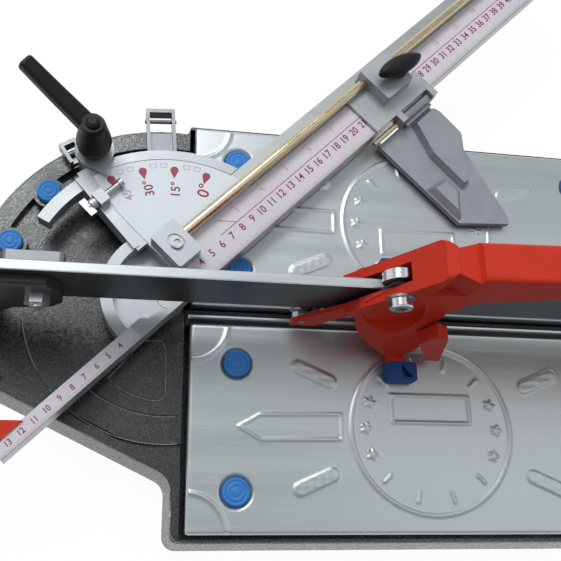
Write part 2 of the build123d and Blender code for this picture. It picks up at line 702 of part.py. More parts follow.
with BuildPart() as sector_label:
    with BuildSketch(fence_at(bar_high)):
        Circle(sector_in - 0.5)
        Polygon((12.5, 19.5), (120, 19.5), (120, 120), (12.5, 120), align=None,
                mode=Mode.INTERSECT)
        Polygon(*ccw(sector_points(1, 160, 0, wall_deg - 4.6, 12)), align=None,
                mode=Mode.INTERSECT)
    extrude(amount=scale_t)
save(sector_label, "sector_label")

# Guide rod and the blocks that hold it
rod_a0 = 20.0
block_a1 = long_a1 - 2.0
block_a0 = block_a1 - 16.0
block_mid = (block_a0 + block_a1) / 2
rod_a1 = block_a1 - 2.0
label_top = bar_high + scale_t
with BuildPart() as guide_rod:
    rod_along_a(rod_b, rod_z, rod_r, rod_a0, rod_a1)
save(guide_rod, "guide_rod")

inner_top = T + 30.0
with BuildPart() as inner_rod_block:
    fence_box(13, 34, 4.5, 34, label_top, inner_top)
    fillet(inner_rod_block.edges().filter_by(Axis.Z), 2)
    rod_along_a(rod_b, rod_z, rod_r + 0.02, rod_a0 - 0.05, 60, Mode.SUBTRACT)
    with BuildSketch(fence_at(inner_top - 0.8)):
        with Locations((23.5, 19.0)):
            Ellipse(5.4, 7.4)
    extrude(amount=10, mode=Mode.SUBTRACT)
save(inner_rod_block, "inner_rod_block")

with BuildPart() as outer_rod_block:
    fence_box(block_a0, block_a1, 12, 34, label_top - scale_t, inner_top)
    fence_box(block_a0 - 30, long_a1 + 10, 0, 19, label_top - scale_t - 1, label_top, Mode.SUBTRACT)
    rod_along_a(rod_b, rod_z, rod_r + 0.02, block_a0 - 30, rod_a1 + 0.05, Mode.SUBTRACT)
    with Locations(fence_point(block_mid, 15.0, inner_top)):
        Cylinder(2.6, 6, mode=Mode.SUBTRACT)
save(outer_rod_block, "outer_rod_block")

with BuildPart() as rod_block_screws:
    spot = fence_point(23.5, 19.0, 0)
    rod_z_up(spot[0], spot[1], 4.3, inner_top - 0.8, inner_top + 1.4)
    with BuildSketch(Plane.XY.offset(inner_top + 0.2)):
        with Locations((spot[0], spot[1])):
            RegularPolygon(2.4, 6)
    extrude(amount=4, mode=Mode.SUBTRACT)
    spot = fence_point(block_mid, 15.0, 0)
    rod_z_up(spot[0], spot[1], 2.5, inner_top - 3, inner_top + 0.8)
save(rod_block_screws, "rod_block_screws")

# Wedge-shaped end plate: its slanted side runs at half a right angle to the bar
end_tip = short_a0 + 26.0
end_far = 11.0
with BuildPart() as short_bar_end_plate:
    for tip, b0, z0, z1 in ((end_tip - 2.5, -1.0, bar_low, label_top),
                            (end_tip - 1, -2.2, label_top, label_top + 1.6)):
        wedge = [(tip, b0), (tip - (end_far - b0), end_far), (short_a0, end_far), (short_a0, b0)]
        with BuildSketch(fence_at(z0)):
            Polygon(*ccw(wedge), align=None)
        extrude(amount=z1 - z0)
save(short_bar_end_plate, "short_bar_end_plate")

# Lateral stop: slider on the rod
stop_a = 239.0
slide_low = label_top + 0.4
slide_high = T + 32.0
stop_pin_r = 2.2
lug_r = 4.0
pin_a0 = 197.0
pin_a1 = 267.5
knob_a = 246.0
knob_b = 11.0
with BuildPart() as stop_slider:
    fence_box(stop_a - 15, stop_a + 15, -1, 31, slide_low, slide_high)
    fillet(stop_slider.edges().filter_by(Axis.Z), 2)
    fence_box(203, stop_a + 15, bar_b0 - 0.3, 21, slide_low, slide_low + 2.6)
    fence_box(stop_a + 10, 268, bar_b0 - 0.3, 5, slide_low, slide_low + 2.6)
    # lugs that hold the hinge pin outside the working edge
    for a0, a1 in ((225.5, 231), (262.6, 268)):
        fence_box(a0, a1, stop_pin_b - 3.8, bar_b0 + 1, slide_low, slide_low + 2.6)
        fence_box(a0, a1, stop_pin_b - 3.8, bar_b0 - 0.5, stop_pin_z - 3.6, slide_low + 2.6)
    rod_along_a(rod_b, rod_z, rod_r + running, 150, 350, Mode.SUBTRACT)
    rod_along_a(stop_pin_b, stop_pin_z, stop_pin_r, 150, 350, Mode.SUBTRACT)
    spot = fence_point(knob_a, knob_b, 0)
    rod_z_up(spot[0], spot[1], 3.0 + running, slide_high - 10, slide_high + 1, Mode.SUBTRACT)
save(stop_slider, "stop_slider")

with BuildPart() as stop_hinge_pin:
    rod_along_a(stop_pin_b, stop_pin_z, stop_pin_r - 0.02, pin_a0, pin_a1)
save(stop_hinge_pin, "stop_hinge_pin")

arm_bottom = T + 2.6
arm_outline = [(203, -19), (203, -105), (233, -132), (237, -128), (255, -66), (264, -56.5),
               (265, -31), (262, -27), (262, -19)]
arm_plate_t = 5.0
arm_raise = [(237, -24), (261, -24), (263.5, -31), (262.5, -56), (253, -67), (234, -88),
             (226, -88), (227, -52)]
arm_block = [(204, -69), (222.5, -72), (223.5, -88), (207, -103.5), (204, -103.5)]
with BuildPart() as stop_arm:
    with BuildSketch(fence_at(arm_bottom)):
        Polygon(*ccw(arm_outline), align=None)
    extrude(amount=arm_plate_t)
    for corners, height, slope in ((arm_raise, 6.4, 20), (arm_block, 5.0, 38)):
        with BuildSketch(fence_at(arm_bottom + arm_plate_t)):
            Polygon(*ccw(corners), align=None)
        extrude(amount=height, taper=slope)
    # hinge knuckle and the web that joins it to the plate
    rod_along_a(stop_pin_b, stop_pin_z, lug_r, 231.5, 262)
    fence_box(231.5, 261.5, -23, stop_pin_b - 1, arm_bottom, stop_pin_z - 1)
    rod_along_a(stop_pin_b, stop_pin_z, stop_pin_r + running, 150, 350, Mode.SUBTRACT)
save(stop_arm, "stop_arm")

# Wing knob and its screw
knob_low = slide_high + 3.0
with BuildPart() as stop_knob:
    spot = fence_point(knob_a, knob_b, 0)
    turned = Plane(origin=(spot[0], spot[1], knob_low), z_dir=(0, 0, 1),
                   x_dir=(cos(radians(fence_deg - 12.5)), sin(radians(fence_deg - 12.5)), 0))
    with BuildSketch(turned):
        Circle(7.5)
    extrude(amount=4)
    with BuildSketch(turned.offset(3)):
        Ellipse(20.5, 7.5)
    extrude(amount=9)
    fillet(stop_knob.edges().group_by(Axis.Z)[-1], 2.2)
    rod_z_up(spot[0], spot[1], 3.0, knob_low - 1, knob_low + 8, Mode.SUBTRACT)
save(stop_knob, "stop_knob")

with BuildPart() as stop_knob_screw:
    rod_z_up(spot[0], spot[1], 2.98, slide_high - 9, knob_low + 8)
save(stop_knob_screw, "stop_knob_screw")

# Carriage on the rail
plate_out = plate_in + plate_t
with BuildPart() as carriage_plates:
    for side in (-1, 1):
        with BuildSketch(Plane.XZ.offset(plate_in if side < 0 else -plate_out)):
            shape = [(bolt_x - 5.8, bolt_z), (bolt_x + 5.8, bolt_z), (164, low_z + 4)]
            shape = shape + [(164, T + 19.5), (118, T + 19.5), (118, low_z + 4)]
            Polygon(*ccw(shape), align=None)
            with Locations((bolt_x, bolt_z)):
                Circle(5.8)
        extrude(amount=plate_t)
    rod_along_y(bolt_x, bolt_z, axle_r + running, -40, 40, Mode.SUBTRACT)
    for off in (-1, 1):
        rod_along_y(bolt_x + off * low_roller_off, low_z, 2.5, -40, 40, Mode.SUBTRACT)
save(carriage_plates, "carriage_plates")

with BuildPart() as roller_axles:
    for off in (-1, 1):
        rod_along_y(bolt_x + off * low_roller_off, low_z, 2.48, -plate_out, plate_out)
save(roller_axles, "roller_axles")

washer_t = 1.3
with BuildPart() as handle_pivot_bolt:
    rod_along_y(bolt_x, bolt_z, axle_r - 0.02, -handle_half - washer_t, handle_half - 1)
    with BuildSketch(Plane.XZ.offset(handle_half + washer_t)):
        with Locations((bolt_x, bolt_z)):
            Circle(7.5)
    extrude(amount=6)
    fillet(handle_pivot_bolt.edges().group_by(Axis.Y)[0], 1.0)
    with BuildSketch(Plane.XZ.offset(handle_half + washer_t + 2.5)):
        with Locations((bolt_x, bolt_z)):
            RegularPolygon(4.2, 6)
    extrude(amount=8, mode=Mode.SUBTRACT)
save(handle_pivot_bolt, "handle_pivot_bolt")

with BuildPart() as pivot_washer:
    rod_along_y(bolt_x, bolt_z, 9.0, -handle_half - washer_t, -handle_half)
    rod_along_y(bolt_x, bolt_z, axle_r, -40, 40, Mode.SUBTRACT)
save(pivot_washer, "pivot_washer")

with BuildPart() as top_roller:
    rod_along_y(bolt_x, bolt_z, roller_r, -plate_in + 0.4, plate_in - 0.4)
    chamfer(top_roller.edges().filter_by(GeomType.CIRCLE), 0.5)
    rod_along_y(bolt_x, bolt_z, axle_r + running, -40, 40, Mode.SUBTRACT)
save(top_roller, "top_roller")

for off, place in ((-1, "front"), (1, "rear")):
    with BuildPart() as low_roller:
        x = bolt_x + off * low_roller_off
        rod_along_y(x, low_z, low_roller_r, -plate_in + 0.4, plate_in - 0.4)
        chamfer(low_roller.edges().filter_by(GeomType.CIRCLE), 0.5)
        rod_along_y(x, low_z, 2.5 + running, -40, 40, Mode.SUBTRACT)
    save(low_roller, "lower_roller_" + place)

# Handle: near half, then mirrored
lever_x1 = 400.0
lever_slope = 0.06
lever_depth = 21.0
face_top = T + 97.0
face_low = T + 12.0
top_z = T + 126.5 + lever_slope * (lever_x1 - 182)
lug_y0 = 16.0
lug_y1 = 20.0
lug_room = 0.5
breaker_pin_y = 24.0
with BuildPart() as handle:
    # flared cheek with a round lower lobe
    with BuildSketch(Plane.XZ.offset(slot_half)):
        with BuildLine():
            Spline((122, T + 68), (126, T + 46), (132, T + 28), (140, T + 19), (152, T + 12.5),
                   (163, T + 12), (172, T + 18), (176.5, T + 40), (185, T + 84))
            Polyline((185, T + 84), (178, T + 100), (143, T + 100), (122, T + 68))
        make_face()
    extrude(amount=lobe_half - slot_half)
    lean = Vector(0, face_low - face_top, lobe_half - handle_half).normalized()
    cheek_face = Plane(origin=(bolt_x, -handle_half, face_top), x_dir=(1, 0, 0), z_dir=lean)
    with BuildSketch(cheek_face):
        Rectangle(300, 400)
    extrude(amount=60, mode=Mode.SUBTRACT)
    # the cheek starts narrow at the front
    with BuildSketch(Plane.XY.offset(T)):
        narrow = [(110, -handle_half), (126, -handle_half), (155, -lobe_half), (155, -60), (110, -60)]
        Polygon(*ccw(narrow), align=None)
    extrude(amount=150, mode=Mode.SUBTRACT)
    # oval hollow round the bolt
    with BuildSketch(cheek_face.offset(-7)):
        with Locations((2, -27)):
            Ellipse(19, 25)
    extrude(amount=20, mode=Mode.SUBTRACT)
    # head and lever
    with BuildSketch(Plane.XZ):
        body = [(116, T + 56), (159, T + 127), (164, T + 127), (182, T + 126.5)]
        body = body + [(lever_x1, top_z), (lever_x1, top_z - lever_depth), (275, T + 110.5)]
        body = body + [(242, T + 102.6), (218, T + 95.5), (196, T + 90), (188, T + 82)]
        body = body + [(180, T + 62), (172, T + 46), (150, T + 40), (128, T + 44)]
        Polygon(*ccw(body), align=None)
    extrude(amount=handle_half)
    rounded = handle.edges().filter_by(lambda e: e.center().Y < -handle_half + 0.1)
    rounded = rounded.filter_by(lambda e: 182 < e.center().X < lever_x1 - 1)
    fillet(rounded.filter_by(lambda e: e.center().Z > T + 125), 4)
    # sunken facet on the top
    with BuildSketch(Plane.XZ):
        dip = [(166, T + 130), (167, T + 125), (181, T + 122.5), (184, T + 130)]
        Polygon(*ccw(dip), align=None)
    extrude(amount=handle_half + 1, mode=Mode.SUBTRACT)
    # leg behind the breaker pad
    with BuildSketch(Plane.XZ.offset(22)):
        leg = [(166, T + 52), (172, T + 72), (181, T + 66), (195, T + 13), (184, T + 13),
               (179, T + 26)]
        Polygon(*ccw(leg), align=None)
    extrude(amount=9)
    # front arm down to the wheel
    with BuildSketch(Plane.XZ.offset(slot_half)):
        front = [(116, T + 56), (92, T + 26), (88, T + 20), (88, T + 13), (106, T + 13)]
        front = front + [(112, T + 24), (130, T + 44), (130, T + 60)]
        Polygon(*ccw(front), align=None)
    extrude(amount=3.0)
    # slot for the rail and the carriage
    box(60, 162, -slot_half, 5, T - 5, T + 104.5, Mode.SUBTRACT)
    box(100, 201, -slot_half, 5, T - 5, T + 90, Mode.SUBTRACT)
    rod_along_y(bolt_x, bolt_z, axle_r, -60, 0, Mode.SUBTRACT)
    rod_along_y(bolt_x, bolt_z, 10.0, -60, -handle_half, Mode.SUBTRACT)
    rod_along_y(breaker_x, breaker_z, 3.0 + running, -breaker_pin_y, 0, Mode.SUBTRACT)
    box(breaker_x - 11, breaker_x + 12, -lug_y1 - lug_room, -lug_y0 + lug_room, T - 5, breaker_z + 8,
        Mode.SUBTRACT)
    rod_along_y(wheel_x, wheel_z, 2.0, -60, 0, Mode.SUBTRACT)
    # waist between head and lever
    with BuildSketch(Plane.XY.offset(T + 100)):
        waist = [(158, -handle_half - 1), (167, -handle_half + 5), (185, -handle_half - 1)]
        Polygon(*ccw(waist), align=None)
    extrude(amount=60, mode=Mode.SUBTRACT)
    mirror(about=Plane.XZ)
save(handle, "handle")

# Grip on the end of the lever
lever_dir = Vector(1, 0, lever_slope).normalized()
grip_mid = Vector(lever_x1, 0, top_z - lever_depth / 2)
with BuildPart() as handle_grip:
    front = Plane(origin=grip_mid, x_dir=(0, 1, 0), z_dir=(1, 0, 0))
    half_way = Plane(origin=grip_mid + lever_dir * 60, x_dir=(0, 1, 0), z_dir=lever_dir)
    end = Plane(origin=grip_mid + lever_dir * 120, x_dir=(0, 1, 0), z_dir=lever_dir)
    with BuildSketch(front):
        RectangleRounded(29, 25, 9)
    with BuildSketch(half_way):
        RectangleRounded(33, 30, 12)
    with BuildSketch(end):
        RectangleRounded(29, 26, 11)
    loft()
    fillet(handle_grip.faces().sort_by(Axis.X)[-1].edges(), 6)
save(handle_grip, "handle_grip")

# Scoring wheel and its holder
with BuildPart() as wheel_holder:
    with BuildSketch(Plane.XZ.offset(-slot_half)):
        block = [(89, T + 14), (107, T + 14), (109, T + 20), (106, T + 23), (92, T + 23), (89, T + 20)]
        Polygon(*ccw(block), align=None)
    extrude(amount=2 * slot_half)
    box(60, wheel_x + wheel_r + 0.8, -1.9, 1.9, T, T + 40, Mode.SUBTRACT)
    rod_along_y(wheel_x, wheel_z, 2.0, -60, 60, Mode.SUBTRACT)
save(wheel_holder, "wheel_holder")

with BuildPart() as wheel_axle:
    rod_along_y(wheel_x, wheel_z, 1.98, -slot_half - 3, slot_half + 3)
save(wheel_axle, "wheel_axle")

with BuildPart() as scoring_wheel:
    rod_along_y(wheel_x, wheel_z, wheel_r, -1.5, 1.5)
    chamfer(scoring_wheel.edges().filter_by(GeomType.CIRCLE), 1.2, 1.8)
    rod_along_y(wheel_x, wheel_z, 2.0 + running, -10, 10, Mode.SUBTRACT)
save(scoring_wheel, "scoring_wheel")

# Breaker foot with its pads and pins
pad_y0 = lobe_half + 4.0
pad_y1 = pad_y0 + 13.5
pad_low = T + 3.0
pad_high = T + 12.0
with BuildPart() as breaker_foot:
    box(158, 170, -pad_y0, pad_y0, T + 4, T + 10.8)
    for side in (-1, 1):
        with BuildSketch(Plane.XZ.offset(lug_y0 if side < 0 else -lug_y1)):
            lug = [(156, T + 4), (174, T + 4), (170, T + 35), (158, T + 35)]
            Polygon(*ccw(lug), align=None)
        extrude(amount=lug_y1 - lug_y0)
    rod_along_y(breaker_x, breaker_z, 3.0, -60, 60, Mode.SUBTRACT)
save(breaker_foot, "breaker_foot")

with BuildPart() as breaker_pads:
    for side in (-1, 1):
        low = pad_y0 if side > 0 else -pad_y1
        box(157, 179, low, low + pad_y1 - pad_y0, pad_low, pad_high)
    fillet(breaker_pads.edges().filter_by(Axis.Z), 2)
    fillet(breaker_pads.edges().group_by(Axis.Z)[-1], 1.0)
    for side in (-1, 1):
        with BuildSketch(Plane.XY.offset(pad_high - 5)):
            dent = [(168, side * 34), (168, side * 43), (176, side * 43)]
            Polygon(*ccw(dent), align=None)
        extrude(amount=10, mode=Mode.SUBTRACT)
save(breaker_pads, "breaker_pads")

with BuildPart() as breaker_pins:
    for side in (-1, 1):
        y0 = min(side * 8.0, side * breaker_pin_y)
        rod_along_y(breaker_x, breaker_z, 2.98, y0, y0 + breaker_pin_y - 8.0)
save(breaker_pins, "breaker_pins")
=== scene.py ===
"""Looks of the tile cutter: materials, pressed tables, printed scales, light and camera."""
import json
import math
import bpy
import bmesh
import numpy as np
from mathutils import Matrix, Vector


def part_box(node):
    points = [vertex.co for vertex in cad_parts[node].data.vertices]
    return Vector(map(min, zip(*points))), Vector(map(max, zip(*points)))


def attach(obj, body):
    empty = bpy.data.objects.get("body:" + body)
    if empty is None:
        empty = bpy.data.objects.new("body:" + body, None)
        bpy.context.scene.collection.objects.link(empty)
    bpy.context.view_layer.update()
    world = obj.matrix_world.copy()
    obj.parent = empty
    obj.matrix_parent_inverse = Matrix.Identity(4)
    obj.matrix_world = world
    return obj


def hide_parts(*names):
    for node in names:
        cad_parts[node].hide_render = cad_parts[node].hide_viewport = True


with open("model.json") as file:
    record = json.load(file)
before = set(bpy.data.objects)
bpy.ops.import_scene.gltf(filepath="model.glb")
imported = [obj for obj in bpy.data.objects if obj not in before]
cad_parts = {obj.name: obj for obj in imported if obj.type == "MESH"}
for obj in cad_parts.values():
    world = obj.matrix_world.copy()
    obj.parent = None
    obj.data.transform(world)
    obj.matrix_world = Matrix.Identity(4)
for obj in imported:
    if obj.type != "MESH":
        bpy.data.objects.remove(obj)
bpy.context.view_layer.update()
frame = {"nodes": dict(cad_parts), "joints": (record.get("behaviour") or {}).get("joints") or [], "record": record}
NODE = frame["nodes"]
MM = 0.001


def in_mm(point):
    return [round(v / MM, 3) for v in point]


# Places from the frame, in mm

TABLE_LOW, TABLE_HIGH = [in_mm(corner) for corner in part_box("far_table")]
LABEL_TOP = in_mm(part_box("sector_label")[1])[2]
KNOB_LOW = in_mm(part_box("stop_knob")[0])[2]
JOINT_AT = {row["name"]: in_mm(row["pos_m"]) for row in frame["joints"] if "pos_m" in row}
PIVOT = JOINT_AT["fence_swivel"]
KNOB_AT = JOINT_AT["stop_knob_turn"]
SIDES = ((-1, "near"), (1, "far"))
TOP = 46.0


# Materials

def shade(name, color, metallic=0.0, rough=0.5, shine=0.5):
    mat = bpy.data.materials.new(name)
    mat.use_nodes = True
    shader = mat.node_tree.nodes["Principled BSDF"]
    shader.inputs["Base Color"].default_value = (*color, 1.0)
    shader.inputs["Metallic"].default_value = metallic
    shader.inputs["Roughness"].default_value = rough
    shader.inputs["Specular IOR Level"].default_value = shine
    return mat


def add_node(mat, kind, **values):
    node = mat.node_tree.nodes.new(kind)
    for key, value in values.items():
        if key in node.inputs:
            node.inputs[key].default_value = value
        else:
            setattr(node, key, value)
    return node


def wire(mat, out, into):
    mat.node_tree.links.new(out, into)


def place(mat, stretch=(1.0, 1.0, 1.0), turn=0.0):
    spot = add_node(mat, "ShaderNodeTexCoord")
    mapping = add_node(mat, "ShaderNodeMapping", Scale=stretch, Rotation=(0.0, 0.0, turn))
    wire(mat, spot.outputs["Object"], mapping.inputs["Vector"])
    return mapping.outputs["Vector"]


def noise(mat, vector, scale, detail=3.0):
    node = add_node(mat, "ShaderNodeTexNoise", Scale=scale, Detail=detail, Roughness=0.5)
    wire(mat, vector, node.inputs["Vector"])
    return node.outputs["Fac"]


def cells(mat, vector, scale):
    node = add_node(mat, "ShaderNodeTexVoronoi", Scale=scale, feature="SMOOTH_F1", Smoothness=0.6)
    wire(mat, vector, node.inputs["Vector"])
    return node.outputs["Distance"]


def weigh(mat, value, factor, plus):
    """value times factor, plus another value."""
    node = add_node(mat, "ShaderNodeMath", operation="MULTIPLY_ADD")
    wire(mat, value, node.inputs[0])
    node.inputs[1].default_value = factor
    wire(mat, plus, node.inputs[2])
    return node.outputs[0]


def spread(mat, fac, low, high, f0=0.3, f1=0.7):
    node = add_node(mat, "ShaderNodeMapRange")
    node.inputs["From Min"].default_value = f0
    node.inputs["From Max"].default_value = f1
    node.inputs["To Min"].default_value = low
    node.inputs["To Max"].default_value = high
    wire(mat, fac, node.inputs["Value"])
    return node.outputs["Result"]


def tint(mat, fac, dark, light, f0=0.3, f1=0.7):
    node = add_node(mat, "ShaderNodeValToRGB")
    node.color_ramp.elements[0].position = f0
    node.color_ramp.elements[0].color = (*dark, 1.0)
    node.color_ramp.elements[1].position = f1
    node.color_ramp.elements[1].color = (*light, 1.0)
    wire(mat, fac, node.inputs["Fac"])
    return node.outputs["Color"]


def part_of(mat, socket):
    return mat.node_tree.nodes["Principled BSDF"].inputs[socket]


def relief(mat, height, depth_mm, strength=1.0):
    node = add_node(mat, "ShaderNodeBump", Strength=strength, Distance=depth_mm * MM)
    wire(mat, height, node.inputs["Height"])
    old = part_of(mat, "Normal")
    if old.is_linked:
        wire(mat, old.links[0].from_socket, node.inputs["Normal"])
    wire(mat, node.outputs["Normal"], old)


def times(color, k):
    return tuple(min(1.0, c * k) for c in color)


WIDE_GRAIN = 0.08


def grained(name, color, metallic=0.0, rough=0.5, scale=300.0, stretch=(1, 1, 1), vary=0.12,
            rough_vary=0.1, depth=0.05, strength=0.4, turn=0.0, shine=0.5):
    """A surface whose colour, gloss and relief follow one noise."""
    mat = shade(name, color, metallic, rough, shine)
    vector = place(mat, stretch, turn)
    fine = noise(mat, vector, scale)
    wide = noise(mat, vector, scale * WIDE_GRAIN, 2.0)
    half = add_node(mat, "ShaderNodeMath", operation="MULTIPLY")
    wire(mat, fine, half.inputs[0])
    half.inputs[1].default_value = 0.5
    both = weigh(mat, wide, 0.5, half.outputs[0])
    tones = tint(mat, both, times(color, 1 - vary), times(color, 1 + vary))
    wire(mat, tones, part_of(mat, "Base Color"))
    gloss = spread(mat, both, rough - rough_vary, rough + rough_vary)
    wire(mat, gloss, part_of(mat, "Roughness"))
    relief(mat, fine, depth, strength)
    return mat


# heights of the normal over which the painted side shade blends into the top colour
FACING_UP = (0.35, 0.75)


def two_tone(mat, top, side):
    """Painted shade: faces that point up keep the top colour, the other faces are darkened by the side colour."""
    facing = add_node(mat, "ShaderNodeNewGeometry")
    split = add_node(mat, "ShaderNodeSeparateXYZ")
    wire(mat, facing.outputs["Normal"], split.inputs[0])
    up = spread(mat, split.outputs["Z"], 0.0, 1.0, *FACING_UP)
    old = part_of(mat, "Base Color").links[0].from_socket
    side_shade = add_node(mat, "ShaderNodeMix", data_type="RGBA", blend_type="MULTIPLY")
    side_shade.inputs["Factor"].default_value = 1.0
    shades = tint(mat, up, side, top, 0.0, 1.0)
    wire(mat, old, side_shade.inputs[6])
    wire(mat, shades, side_shade.inputs[7])
    wire(mat, side_shade.outputs[2], part_of(mat, "Base Color"))
    return mat


WANDER_GRAIN = 0.5
SPECK_GRAIN = 4.0
SPECK_DEPTH = 0.25
PAINT_TONES = (0.65, 1.45)


def hammered(name, color, metallic, rough, scale, depth):
    """Hammered paint: shallow dimples with a fine speckle."""
    mat = shade(name, color, metallic, rough)
    vector = place(mat)
    wander = noise(mat, vector, scale * WANDER_GRAIN, 2.0)
    dimple = cells(mat, vector, scale)
    speck = noise(mat, vector, scale * SPECK_GRAIN, 2.0)
    both = weigh(mat, speck, 0.5, dimple)
    dark, light = [times(color, k) for k in PAINT_TONES]
    tones = tint(mat, both, dark, light, 0.35, 1.0)
    wire(mat, tones, part_of(mat, "Base Color"))
    wire(mat, spread(mat, wander, rough - 0.08, rough + 0.12), part_of(mat, "Roughness"))
    relief(mat, dimple, depth, 0.7)
    relief(mat, speck, depth * SPECK_DEPTH, 0.5)
    return mat


ALONG_X = (0.03, 1.0, 1.0)
ALONG_ROD = (0.05, 1.0, 1.0)
FENCE_TURN = 45.0
ON_FENCE = -math.radians(FENCE_TURN)
MAT = {
    "base": hammered("hammered_grey", (0.070, 0.073, 0.075), 0.8, 0.28, 900.0, 0.08),
    # a lighter copy of the base paint, a painted highlight for the beads along edges
    "edge": hammered("painted_highlight_edge", (0.21, 0.22, 0.23), 0.8, 0.32, 900.0, 0.05),
    "rubber": grained("black_rubber", (0.018, 0.018, 0.018), 0.0, 0.75, 600.0),
    "beam": grained("black_satin", (0.016, 0.016, 0.017), 0.0, 0.45, 500.0),
    "ridge": grained("ridge_steel", (0.52, 0.53, 0.55), 1.0, 0.32, 900.0, ALONG_X),
    "pad": grained("blue_pad", (0.045, 0.24, 0.66), 0.0, 0.50, 900.0, vary=0.12, depth=0.12,
                   shine=0.35),
    "upright": grained("dark_satin_paint", (0.020, 0.021, 0.024), 0.0, 0.42, 500.0, shine=0.4),
    # the rail's sides are darkened as painted shade
    "rail": two_tone(grained("rail_aluminium", (0.56, 0.60, 0.61), 0.75, 0.36, 700.0, ALONG_X,
                             vary=0.06),
                     (1.0, 1.0, 1.0), (0.16, 0.16, 0.17)),
    "zinc": grained("zinc_plate", (0.46, 0.47, 0.49), 1.0, 0.34, 800.0),
    "dull": grained("dull_zinc", (0.22, 0.23, 0.245), 1.0, 0.42, 800.0),
    "chrome": grained("bright_chrome", (0.60, 0.61, 0.63), 1.0, 0.18, 500.0, vary=0.03,
                      rough_vary=0.04, depth=0.01, strength=0.1),
    "table": grained("table_aluminium", (0.48, 0.52, 0.53), 0.85, 0.36, 900.0, ALONG_X, vary=0.07,
                     rough_vary=0.06, depth=0.02, strength=0.3),
    "spring": grained("spring_steel", (0.40, 0.41, 0.43), 1.0, 0.4, 800.0),
    "cast": grained("cast_aluminium", (0.44, 0.47, 0.49), 0.7, 0.46, 1100.0, vary=0.08,
                    depth=0.06, strength=0.5),
    "arm": grained("sand_cast", (0.33, 0.35, 0.38), 0.6, 0.50, 700.0, vary=0.12, depth=0.12,
                   strength=0.6),
    "navy": grained("dark_blue_pad", (0.022, 0.075, 0.26), 0.0, 0.55, 900.0, vary=0.12, shine=0.2),
    "bar": grained("bar_aluminium", (0.46, 0.47, 0.47), 0.75, 0.40, 900.0, ALONG_X, vary=0.06,
                   turn=ON_FENCE),
    "label": grained("white_label", (0.76, 0.82, 0.88), 0.0, 0.38, 250.0, vary=0.03, depth=0.01),
    "scale": grained("scale_label", (0.70, 0.67, 0.73), 0.0, 0.40, 250.0, vary=0.05, depth=0.01),
    "rod": grained("yellow_passivate", (0.54, 0.48, 0.33), 1.0, 0.22, 700.0, ALONG_ROD, vary=0.14,
                   turn=ON_FENCE),
    "red": grained("red_paint", (0.66, 0.045, 0.024), 0.0, 0.45, 900.0, vary=0.06, depth=0.05,
                   strength=0.25, shine=0.12),
    "black": grained("black_plastic", (0.008, 0.009, 0.010), 0.0, 0.46, 1200.0, depth=0.08,
                     shine=0.22),
    "grip": grained("grip_rubber", (0.014, 0.014, 0.015), 0.0, 0.7, 900.0, depth=0.12, shine=0.3),
    "carbide": grained("ground_carbide", (0.30, 0.31, 0.33), 1.0, 0.28, 900.0),
    "ink_red": grained("red_ink", (0.38, 0.03, 0.06), 0.0, 0.45, 900.0, vary=0.12),
    "ink_dark": grained("dark_ink", (0.26, 0.035, 0.07), 0.0, 0.45, 900.0, vary=0.2),
    "ink_pale": grained("pale_ink", (0.52, 0.40, 0.44), 0.0, 0.45, 900.0, vary=0.1),
}
SLOT_LOOK = {
    "base_paint": "base", "foot_rubber": "rubber", "beam_black": "beam", "ridge_steel": "ridge",
    "pad_blue": "pad", "upright_dark": "upright", "rail_aluminium": "rail", "zinc": "zinc",
    "chrome": "chrome", "table_aluminium": "table", "spring_steel": "spring",
    "fence_aluminium": "cast", "label_white": "label", "rod_yellow": "rod", "red_paint": "red",
    "black_plastic": "black", "grip_rubber": "grip", "carbide": "carbide",
}
NODE_LOOK = {
    "long_bar": "bar", "short_bar": "bar", "long_scale": "scale", "short_scale": "scale",
    "side_stirrups": "dull", "stirrup_pins": "dull", "pivot_washer": "dull",
    "rail_clamp_plate": "dull", "stop_arm": "arm", "breaker_pads": "navy",
}
for row in frame["record"]["subparts"]:
    name = row["node"]
    look = NODE_LOOK.get(name, SLOT_LOOK[row["material_slot"]])
    obj = NODE[name]
    obj.data.materials.clear()
    obj.data.materials.append(MAT[look])


# Mesh helpers

def piece(name, points, faces, look, body, smooth=True):
    """A new mesh, points in mm, riding on a body."""
    mesh = bpy.data.meshes.new(name)
    mesh.from_pydata([(p[0] * MM, p[1] * MM, p[2] * MM) for p in points], [], faces)
    mesh.validate()
    work = bmesh.new()
    work.from_mesh(mesh)
    bmesh.ops.recalc_face_normals(work, faces=work.faces)
    work.to_mesh(mesh)
    work.free()
    for poly in mesh.polygons:
        poly.use_smooth = smooth
    mesh.materials.append(MAT[look])
    obj = bpy.data.objects.new(name, mesh)
    bpy.context.scene.collection.objects.link(obj)
    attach(obj, body)
    return obj


def circle(count):
    """Cosine and sine of count equal steps round a circle."""
    turns = [2 * math.pi * k / count for k in range(count)]
    return [(math.cos(t), math.sin(t)) for t in turns]


def loft(start, rings, count):
    """Quads between closed rings of count points, with a cap on the first and the last."""
    faces = []
    for j in range(rings - 1):
        for k in range(count):
            a, b = start + j * count + k, start + j * count + (k + 1) % count
            faces.append((a, b, b + count, a + count))
    last = start + (rings - 1) * count
    return faces + [tuple(range(start, start + count)), tuple(range(last, last + count))]


DISC_STEPS = 40


def turned(name, spots, rings, look, body):
    """Round shapes turned from (radius, height) rings, closed at both ends."""
    points, faces = [], []
    for x, y in spots:
        faces += loft(len(points), len(rings), DISC_STEPS)
        for r, z in rings:
            points += [(x + r * c, y + r * s, z) for c, s in circle(DISC_STEPS)]
    return piece(name, points, faces, look, body)


def cord(name, paths, thick, look, body, sides=8):
    """Round beads along open paths."""
    points, faces = [], []
    for path in paths:
        faces += loft(len(points), len(path), sides)
        for i, (x, y, z) in enumerate(path):
            ahead = Vector(path[min(i + 1, len(path) - 1)]) - Vector(path[max(i - 1, 0)])
            across = ahead.cross(Vector((0, 0, 1))).normalized() * thick
            points += [(x + across.x * c, y + across.y * c, z + thick * s)
                       for c, s in circle(sides)]
    return piece(name, points, faces, look, body)


